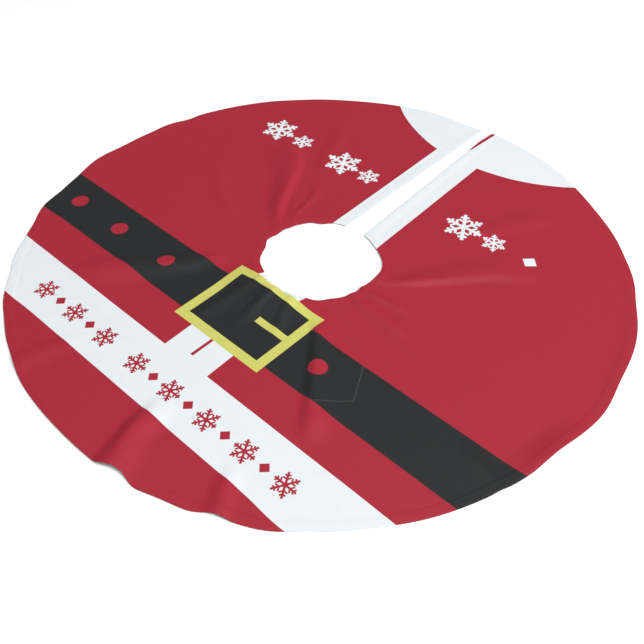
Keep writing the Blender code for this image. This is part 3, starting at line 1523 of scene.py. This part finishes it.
@dataclass(frozen=True)
class ClothBack:
    """The same polyester's unprinted back, where the print shows through faintly.

    Attributes:
        white: Its own colour.
        show_through: Share of the print's colour that comes through.
        roughness: Its mean roughness.
        specular: Its specular level.
        sheen: Weight of its sheen.
        relief: Its weave, nap and creases.
    """

    white: Colour = (0.70, 0.735, 0.76, 1.0)
    show_through: float = 0.10
    roughness: float = 0.75
    specular: float = 0.2
    sheen: float = 0.08
    relief: Relief = Relief(2200.0, 0.00004, 0.00003, 0.0004, 0.05)

    def make(self, groups: ClothGroups) -> bpy.types.Material:
        """Makes the material from the shared node groups."""
        finish = FinishTree("printed_polyester_back", groups)
        finish.settle(self.specular, self.sheen)
        flat = finish.flat_map(CUT_MAP)
        ink = finish.placed(groups.print, cut=flat).outputs["Ink"]
        relief = finish.relief(flat, self.relief)
        ghost = mixed(finish.tree, self.white, ink, self.show_through)
        finish.colour(ghost, relief.outputs["Tone"])
        finish.roughness(self.roughness, relief.outputs["Roughness"])
        finish.bump(Value(finish.tree, relief.outputs["Height"]))
        return finish.material


@dataclass(frozen=True)
class TapeTwill:
    """White twill tape, with ribs that run slantwise across it.

    Attributes:
        white: Its colour.
        roughness: Its mean roughness.
        specular: Its specular level.
        sheen: Weight of its sheen.
        relief: Its ribs and nap.
        pucker_depth: Depth of the gathers along its seams, in metres.
        gathers_per_metre: Gathers per metre of seam.
    """

    white: Colour = (0.66, 0.68, 0.70, 1.0)
    roughness: float = 0.8
    specular: float = 0.2
    sheen: float = 0.08
    relief: Relief = Relief(900.0, 0.00012, 0.00003, 0.0, 0.06)
    pucker_depth: float = 0.0003
    gathers_per_metre: float = 75.0

    def make(self, name: str, width: float, groups: ClothGroups) -> bpy.types.Material:
        """Makes one tape's material.

        Args:
            name: The tape's name.
            width: The tape's width.
            groups: The shared node groups.

        Returns:
            The material.
        """
        finish = FinishTree(name + "_twill", groups)
        finish.settle(self.specular, self.sheen)
        hem = finish.flat_map(HEM_MAP)
        relief = finish.relief(hem, self.relief)
        pucker = finish.placed(
            groups.pucker,
            hem=hem,
            width=width,
            gathers_per_metre=self.gathers_per_metre,
            depth=self.pucker_depth,
        )
        finish.colour(self.white, relief.outputs["Tone"])
        finish.roughness(self.roughness, relief.outputs["Roughness"])
        finish.bump(
            Value(finish.tree, relief.outputs["Height"])
            + Value(finish.tree, pucker.outputs["Height"])
        )
        return finish.material


@dataclass(frozen=True)
class ClearThread:
    """Clear nylon thread of two plies, which takes the colour of the cloth under it.

    Attributes:
        lightening: Share of its own colour that it adds.
        clear: Its own colour.
        roughness: Its mean roughness.
        specular: Its specular level.
        relief: The twist of its plies.
    """

    lightening: float = 0.04
    clear: Colour = (0.62, 0.63, 0.65, 1.0)
    roughness: float = 0.42
    specular: float = 0.45
    relief: Relief = Relief(2600.0, 0.00006, 0.0, 0.0, 0.08)

    def make(self, groups: ClothGroups) -> bpy.types.Material:
        """Makes the material from the shared node groups."""
        finish = FinishTree("clear_thread", groups)
        finish.settle(self.specular)
        ink = finish.placed(groups.print, cut=finish.in_space()).outputs["Ink"]
        relief = finish.relief(finish.flat_map(HEM_MAP), self.relief)
        tinted = mixed(finish.tree, ink, self.clear, self.lightening)
        finish.colour(tinted, relief.outputs["Tone"])
        finish.roughness(self.roughness, relief.outputs["Roughness"])
        finish.bump(Value(finish.tree, relief.outputs["Height"]))
        return finish.material


@dataclass(frozen=True)
class LabelSatin:
    """White woven satin, smoother across the tab than the cloth is.

    Attributes:
        white: Its colour.
        roughness: Its mean roughness.
        specular: Its specular level.
        sheen: Weight of its sheen.
        relief: Its fine weave.
    """

    white: Colour = (0.74, 0.76, 0.78, 1.0)
    roughness: float = 0.38
    specular: float = 0.45
    sheen: float = 0.15
    relief: Relief = Relief(3200.0, 0.00002, 0.00001, 0.0002, 0.03)

    def make(self, groups: ClothGroups) -> bpy.types.Material:
        """Makes the material from the shared node groups."""
        finish = FinishTree("label_satin_weave", groups)
        finish.settle(self.specular, self.sheen)
        relief = finish.relief(finish.flat_map(CUT_MAP), self.relief)
        finish.colour(self.white, relief.outputs["Tone"])
        finish.roughness(self.roughness, relief.outputs["Roughness"])
        finish.bump(Value(finish.tree, relief.outputs["Height"]))
        return finish.material


# Pieces


def stand_for(piece: bpy.types.Object, node: str) -> None:
    """Ties a finished piece to the CAD model.

    Args:
        piece: The piece.
        node: The CAD node that it stands for.
    """
    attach(piece, BODY)
    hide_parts(node)
    LOG.info("%s stands for %s", piece.name, node)


@dataclass(frozen=True)
class PrintedPanel:
    """The one round panel of cloth.

    Attributes:
        lay: How the cloth lies.
        grid: The columns and rings.
    """

    lay: Lay
    grid: Grid

    def build(self, groups: ClothGroups) -> bpy.types.Object:
        """Makes and dresses the panel.

        Args:
            groups: The shared node groups.

        Returns:
            The piece.
        """
        cut = self.lay.cut
        plan = SheetPlan("skirt_panel", self.grid.columns(), self.grid.rings())
        piece = plan.build(cut, self.lay.top)
        piece.data.materials.append(PrintedFace().make(cut, groups))
        piece.data.materials.append(ClothBack().make(groups))
        thicken(piece, self.lay.panel, back=1)
        stand_for(piece, "face_panel")
        return piece


@dataclass(frozen=True)
class FacingTapes:
    """The tapes sewn under the four edges.

    Attributes:
        lay: How the cloth lies.
        grid: The columns and rings.
        tuck: How far each tape stops short of the cloth's edge.
        butt: Half the room between two tapes that meet.
    """

    lay: Lay
    grid: Grid
    tuck: float = 0.0004
    butt: float = 0.0002

    def over(self, spot: Spot) -> Vector:
        """Gives the place of a spot on a tape's upper side."""
        return self.lay.place(spot, self.lay.clearance + self.lay.tape)

    def round_tape(
        self, place: str, edge: Edge, ends: tuple[Column, Column], groups: ClothGroups
    ) -> None:
        """Makes a tape along the neck or the rim.

        Args:
            place: What the tape is named after.
            edge: The edge.
            ends: Its first and last column.
            groups: The shared node groups.
        """
        cut = self.lay.cut
        width = cut.tape_width(edge)
        inner, outer = cut.rim_radius - width, cut.rim_radius - self.tuck
        if edge is Edge.NECK:
            inner, outer = cut.neck_radius + self.tuck, cut.neck_radius + width
        rings = self.grid.rings_between(inner, outer)
        plan = SheetPlan(place + "_tape", self.grid.columns_between(*ends), rings, edge)
        (first, _), (last, _) = ends
        length = math.tau * (inner + outer) / 2 * (last - first)
        self.lay_tape(plan, place + "_facing", (width, length), groups)

    def slit_tape(self, side: Side, groups: ClothGroups) -> None:
        """Makes the tape along a lip.

        Args:
            side: The lip.
            groups: The shared node groups.
        """
        cut = self.lay.cut
        columns = self.grid.columns_between((0.0, self.tuck), (0.0, cut.slit_tape))
        edge = Edge.RIGHT_LIP
        if side is Side.LEFT:
            columns = self.grid.columns_between((1.0, -cut.slit_tape), (1.0, -self.tuck))
            edge = Edge.LEFT_LIP
        inner = cut.neck_radius + cut.neck_tape + self.butt
        outer = cut.rim_radius - cut.rim_tape - self.butt
        place = side.value + "_slit"
        plan = SheetPlan(place + "_tape", columns, self.grid.rings_between(inner, outer), edge)
        self.lay_tape(plan, place + "_facing", (cut.slit_tape, outer - inner), groups)

    def lay_tape(
        self, plan: SheetPlan, node: str, flat: tuple[float, float], groups: ClothGroups
    ) -> None:
        """Makes, dresses and declares one tape.

        Args:
            plan: Its grid.
            node: The CAD node that it stands for.
            flat: Its width and its length.
            groups: The shared node groups.
        """
        piece = plan.build(self.lay.cut, self.over)
        piece.data.materials.append(TapeTwill().make(piece.name, flat[0], groups))
        thicken(piece, self.lay.tape)
        stand_for(piece, node)

    def build(self, groups: ClothGroups) -> None:
        """Makes all five tapes from the shared node groups."""
        right, left = (0.0, self.tuck), (1.0, -self.tuck)
        before, after = (0.5, -self.butt), (0.5, self.butt)
        self.round_tape("neck", Edge.NECK, (right, left), groups)
        self.round_tape("right_rim", Edge.RIM, (right, before), groups)
        self.round_tape("left_rim", Edge.RIM, (after, left), groups)
        for side in (Side.RIGHT, Side.LEFT):
            self.slit_tape(side, groups)


@dataclass(frozen=True)
class Lockstitch:
    """One stitch of a lockstitched row, in metres.

    Attributes:
        pitch: Distance from one stitch to the next.
        length: Length of thread that shows.
        width: Width of the thread.
        height: Thickness of the thread where it lies on the cloth.
        dive: How far its ends sink into the cloth.
        sides: Faces round the thread.
        joints: Faces along the thread.
    """

    pitch: float = 0.0031
    length: float = 0.0028
    width: float = 0.0005
    height: float = 0.00036
    dive: float = 0.00025
    sides: int = 6
    joints: int = 5

    def prototype(self) -> bpy.types.Mesh:
        """Makes one stitch, along +X with the cloth's surface at z = 0.

        Returns:
            Its mesh, with the hem map wound round it so that the plies slant.
        """
        stitch = bmesh.new()
        lying = Matrix.Rotation(math.pi / 2, 4, "Y")
        shape = Matrix.Diagonal((self.length / 2, self.width / 2, self.height / 2, 1.0))
        bmesh.ops.create_uvsphere(
            stitch, u_segments=self.sides, v_segments=self.joints, radius=1.0, matrix=shape @ lying
        )
        ply_map = stitch.loops.layers.uv.new(HEM_MAP)
        for face in stitch.faces:
            face.smooth = True
            for loop in face.loops:
                loop[ply_map].uv = (loop.vert.co.x, loop.vert.co.y)
        for corner in stitch.verts:
            corner.co.z -= self.dive * (2 * corner.co.x / self.length) ** 2
        mesh = bpy.data.meshes.new("stitch_prototype")
        stitch.to_mesh(mesh)
        stitch.free()
        return mesh


@dataclass(frozen=True)
class SeamLine:
    """A seam's run over one surface.

    Attributes:
        points: Places along it.
        beside: A place just to one side of each.
    """

    points: Sequence[Vector]
    beside: Sequence[Vector]

    def length(self) -> float:
        """Gives its length."""
        return sum((ahead - here).length for here, ahead in zip(self.points, self.points[1:]))

    def stitch_frames(self, count: int, first: float, outward: float) -> Iterable[Matrix]:
        """Finds how each stitch lies.

        Args:
            count: Stitches in the row.
            first: Where the first one's middle lies, in stitches.
            outward: 1 where they lie on an upper side, and -1 on a lower one.

        Yields:
            The matrix that places each stitch.
        """
        pitch = self.length() / (count + 0.5)
        travelled = 0.0
        number = 0
        for index, (here, ahead) in enumerate(zip(self.points, self.points[1:])):
            reach = (ahead - here).length
            along = (ahead - here).normalized()
            upright = along.cross(self.beside[index] - here).normalized()
            upright *= math.copysign(outward, upright.z)
            turn = Matrix((along, upright.cross(along), upright)).transposed().to_4x4()
            while number < count and (number + first) * pitch <= travelled + reach:
                share = ((number + first) * pitch - travelled) / reach
                yield Matrix.Translation(here.lerp(ahead, share)) @ turn
                number += 1
            travelled += reach


@dataclass(frozen=True)
class Stitching:
    """The eight rows of lockstitching, each with its upper and its lower thread.

    Attributes:
        lay: How the cloth lies.
        grid: The columns and rings.
        stitch: One stitch.
        sideways: Distance from a seam to the places beside it.
    """

    lay: Lay
    grid: Grid
    stitch: Lockstitch = Lockstitch()
    sideways: float = 0.0005

    def round_run(self, edge: Edge, row: float) -> tuple[list[Spot], list[Spot]]:
        """Gives the spots along a row round the neck or the rim, and those beside it."""
        cut = self.lay.cut
        radius = cut.rim_radius - row if edge is Edge.RIM else cut.neck_radius + row
        columns = self.grid.columns_between((0.0, cut.edge_row), (1.0, -cut.edge_row))
        spots = [Spot(*column, radius) for column in columns]
        return spots, [spot._replace(radius=radius + self.sideways) for spot in spots]

    def slit_run(self, side: Side, row: float) -> tuple[list[Spot], list[Spot]]:
        """Gives the spots along a lip, between the two hems' rows, and those beside it."""
        cut = self.lay.cut
        inner = cut.neck_radius + cut.rows(Edge.NECK)[1] + self.stitch.pitch / 2
        outer = cut.rim_radius - cut.rows(Edge.RIM)[1] - self.stitch.pitch / 2
        share, inset = (1.0, -row) if side is Side.LEFT else (0.0, row)
        spots = [Spot(share, inset, ring) for ring in self.grid.rings_between(inner, outer)]
        return spots, [spot._replace(inset=inset + self.sideways) for spot in spots]

    def sew(
        self, name: str, run: tuple[list[Spot], list[Spot]], finish: bpy.types.Material
    ) -> bpy.types.Object:
        """Makes one row.

        Args:
            name: The row's name.
            run: The spots along it, and those beside it.
            finish: The thread's material.

        Returns:
            The piece.
        """
        prototype = self.stitch.prototype()
        row = bmesh.new()
        for surface, first, outward in ((self.lay.top, 0.5, 1.0), (self.lay.under, 1.0, -1.0)):
            line = SeamLine(*([surface(spot) for spot in spots] for spots in run))
            count = round(line.length() / self.stitch.pitch)
            for frame_here in line.stitch_frames(count, first, outward):
                placed = prototype.copy()
                placed.transform(frame_here)
                row.from_mesh(placed)
                bpy.data.meshes.remove(placed)
        bpy.data.meshes.remove(prototype)
        mesh = bpy.data.meshes.new(name + "_seam")
        row.to_mesh(mesh)
        row.free()
        mesh.materials.append(finish)
        piece = bpy.data.objects.new(mesh.name, mesh)
        bpy.context.scene.collection.objects.link(piece)
        stand_for(piece, name + "_stitching")
        return piece

    def build(self, groups: ClothGroups) -> list[bpy.types.Object]:
        """Makes and dresses every row.

        Args:
            groups: The shared node groups.

        Returns:
            The rows.
        """
        finish = ClearThread().make(groups)
        runs = {}
        for edge in (Edge.NECK, Edge.RIM):
            for kind, inset in zip(("edge", "hem"), self.lay.cut.rows(edge)):
                runs[f"{edge.value}_{kind}"] = self.round_run(edge, inset)
        for side in (Side.LEFT, Side.RIGHT):
            for kind, inset in zip(("edge", "hem"), self.lay.cut.rows(Edge.LEFT_LIP)):
                runs[f"{side.value}_slit_{kind}"] = self.slit_run(side, inset)
        return [self.sew(name, run, finish) for name, run in runs.items()]


@dataclass(frozen=True)
class CareTab:
    """The blank woven tab under the cloth, caught by the rim's hem.

    Attributes:
        lay: How the cloth lies.
        heading: Where it lies.
        width: Its width.
        length: Its length, towards the centre.
        thickness: Its thickness.
        underside: Height of its lower side.
        bays_across: Bays over its width.
        bays_along: Bays over its length.
    """

    lay: Lay
    heading: float = 112.0
    width: float = 0.028
    length: float = 0.050
    thickness: float = 0.0002
    underside: float = 0.00005
    bays_across: int = 14
    bays_along: int = 20

    def build(self, groups: ClothGroups) -> bpy.types.Object:
        """Makes and dresses the tab.

        Args:
            groups: The shared node groups.

        Returns:
            The piece.
        """
        cut = self.lay.cut
        outer = cut.rim_radius - cut.rim_tape - self.lay.clearance
        rings = evenly(outer - self.length, outer, self.bays_along)
        first = cut.lip_angle(Side.RIGHT, outer)
        last = cut.lip_angle(Side.LEFT, outer) - math.tau
        turn = math.radians(self.heading) - math.tau
        share = (turn - first) / (last - first)
        offsets = evenly(-self.width / 2, self.width / 2, self.bays_across)
        columns = [(share, offset) for offset in offsets]
        piece = SheetPlan("care_tab", columns, rings, Edge.RIM).build(cut, self.over)
        piece.data.materials.append(LabelSatin().make(groups))
        thicken(piece, self.thickness)
        stand_for(piece, "care_label")
        return piece

    def over(self, spot: Spot) -> Vector:
        """Gives the place of a spot on the tab's upper side."""
        return self.lay.place(spot, self.underside + self.thickness)


# Studio


@dataclass(frozen=True)
class SoftBox:
    """A square soft light that faces the skirt.

    Attributes:
        name: Its name.
        heading: Heading that its light comes from.
        elevation: Its height above the horizon, in degrees.
        distance: Its distance, in metres.
        size: Its side, in metres.
        power: Its power, in watts.
    """

    name: str
    heading: float
    elevation: float
    distance: float
    size: float
    power: float

    def build(self) -> None:
        """Makes the light."""
        panel = bpy.data.lights.new(self.name, "AREA")
        panel.shape = "SQUARE"
        panel.size = self.size
        panel.energy = self.power
        box = bpy.data.objects.new(self.name, panel)
        bpy.context.scene.collection.objects.link(box)
        heading, up = math.radians(self.heading), math.radians(self.elevation)
        towards = Vector(
            (math.cos(heading) * math.cos(up), math.sin(heading) * math.cos(up), math.sin(up))
        )
        box.location = towards * self.distance
        box.rotation_euler = towards.to_track_quat("Z", "Y").to_euler()


@dataclass(frozen=True)
class Studio:
    """The plain floor, the soft light and the camera.

    Attributes:
        aim: Point on the floor that the camera looks at.
        azimuth: Turn of the camera round the object, in degrees; at 0 it looks along +Y.
        elevation: Height of the camera above the horizon, in degrees.
        distance: Distance from the camera to the aim.
        lens: Focal length in millimetres.
        floor_size: Side of the floor.
        floor_white: Colour of the floor.
        fill: Strength of the even light from all round.
        lights: The soft boxes.
    """

    aim: tuple[float, float] = (0.1123, -0.1150)
    azimuth: float = 43.085
    elevation: float = 45.544
    distance: float = 1.4005
    lens: float = 46.18
    floor_size: float = 14.0
    floor_white: Colour = (0.97, 0.97, 0.97, 1.0)
    fill: float = 0.26
    lights: tuple[SoftBox, ...] = (
        SoftBox("overhead_box", 0.0, 80.0, 7.0, 5.0, 272.0),
        SoftBox("side_box", 20.0, 36.0, 8.0, 3.4, 560.0),
    )

    def build(self) -> None:
        """Sets up the whole studio."""
        self.lay_floor()
        self.fill_evenly()
        for light in self.lights:
            light.build()
        self.set_camera()
        bpy.context.scene.view_settings.view_transform = "Standard"

    def lay_floor(self) -> None:
        """Makes the floor."""
        plane = bmesh.new()
        bmesh.ops.create_grid(plane, x_segments=1, y_segments=1, size=self.floor_size / 2)
        mesh = bpy.data.meshes.new("floor")
        plane.to_mesh(mesh)
        plane.free()
        floor = bpy.data.objects.new("floor", mesh)
        bpy.context.scene.collection.objects.link(floor)
        finish = bpy.data.materials.new("studio_floor")
        finish.use_nodes = True
        shader = finish.node_tree.nodes["Principled BSDF"]
        shader.inputs["Base Color"].default_value = self.floor_white
        shader.inputs["Roughness"].default_value = 0.9
        shader.inputs["Specular IOR Level"].default_value = 0.0
        mesh.materials.append(finish)
        floor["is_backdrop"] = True

    def fill_evenly(self) -> None:
        """Makes the even light from all round."""
        world = bpy.data.worlds.new("studio_fill")
        world.use_nodes = True
        background = world.node_tree.nodes["Background"]
        background.inputs["Color"].default_value = (1.0, 1.0, 1.0, 1.0)
        background.inputs["Strength"].default_value = self.fill
        bpy.context.scene.world = world

    def set_camera(self) -> None:
        """Makes the camera and looks through it."""
        turn, up = math.radians(self.azimuth), math.radians(self.elevation)
        back = Vector(
            (math.sin(turn) * math.cos(up), -math.cos(turn) * math.cos(up), math.sin(up))
        )
        camera = bpy.data.objects.new("camera", bpy.data.cameras.new("camera"))
        bpy.context.scene.collection.objects.link(camera)
        camera.data.lens = self.lens
        camera.location = Vector((*self.aim, 0.0)) + back * self.distance
        camera.rotation_euler = back.to_track_quat("Z", "Y").to_euler()
        bpy.context.scene.camera = camera


def write_sizes() -> None:
    """Works out the CAD model's box and the visual model's as lists of corners."""
    boxes = {"cad": cad_box, "visual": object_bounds()}
    {name: [list(corner) for corner in box] for name, box in boxes.items()}


def main() -> None:
    """Builds the skirt and the studio."""
    logging.basicConfig(level=logging.INFO, format="%(name)s: %(message)s")
    cut = Cut.from_frame()
    lay = Lay(cut)
    groups = ClothGroups.new()
    grid = Grid(cut)
    panel = PrintedPanel(lay, grid).build(groups)
    FacingTapes(lay, grid).build(groups)
    seams = Stitching(lay, grid).build(groups)
    CareTab(lay).build(groups)
    cut.area()
    Studio().build()
    write_sizes()


if __name__ == "__main__":
    main()
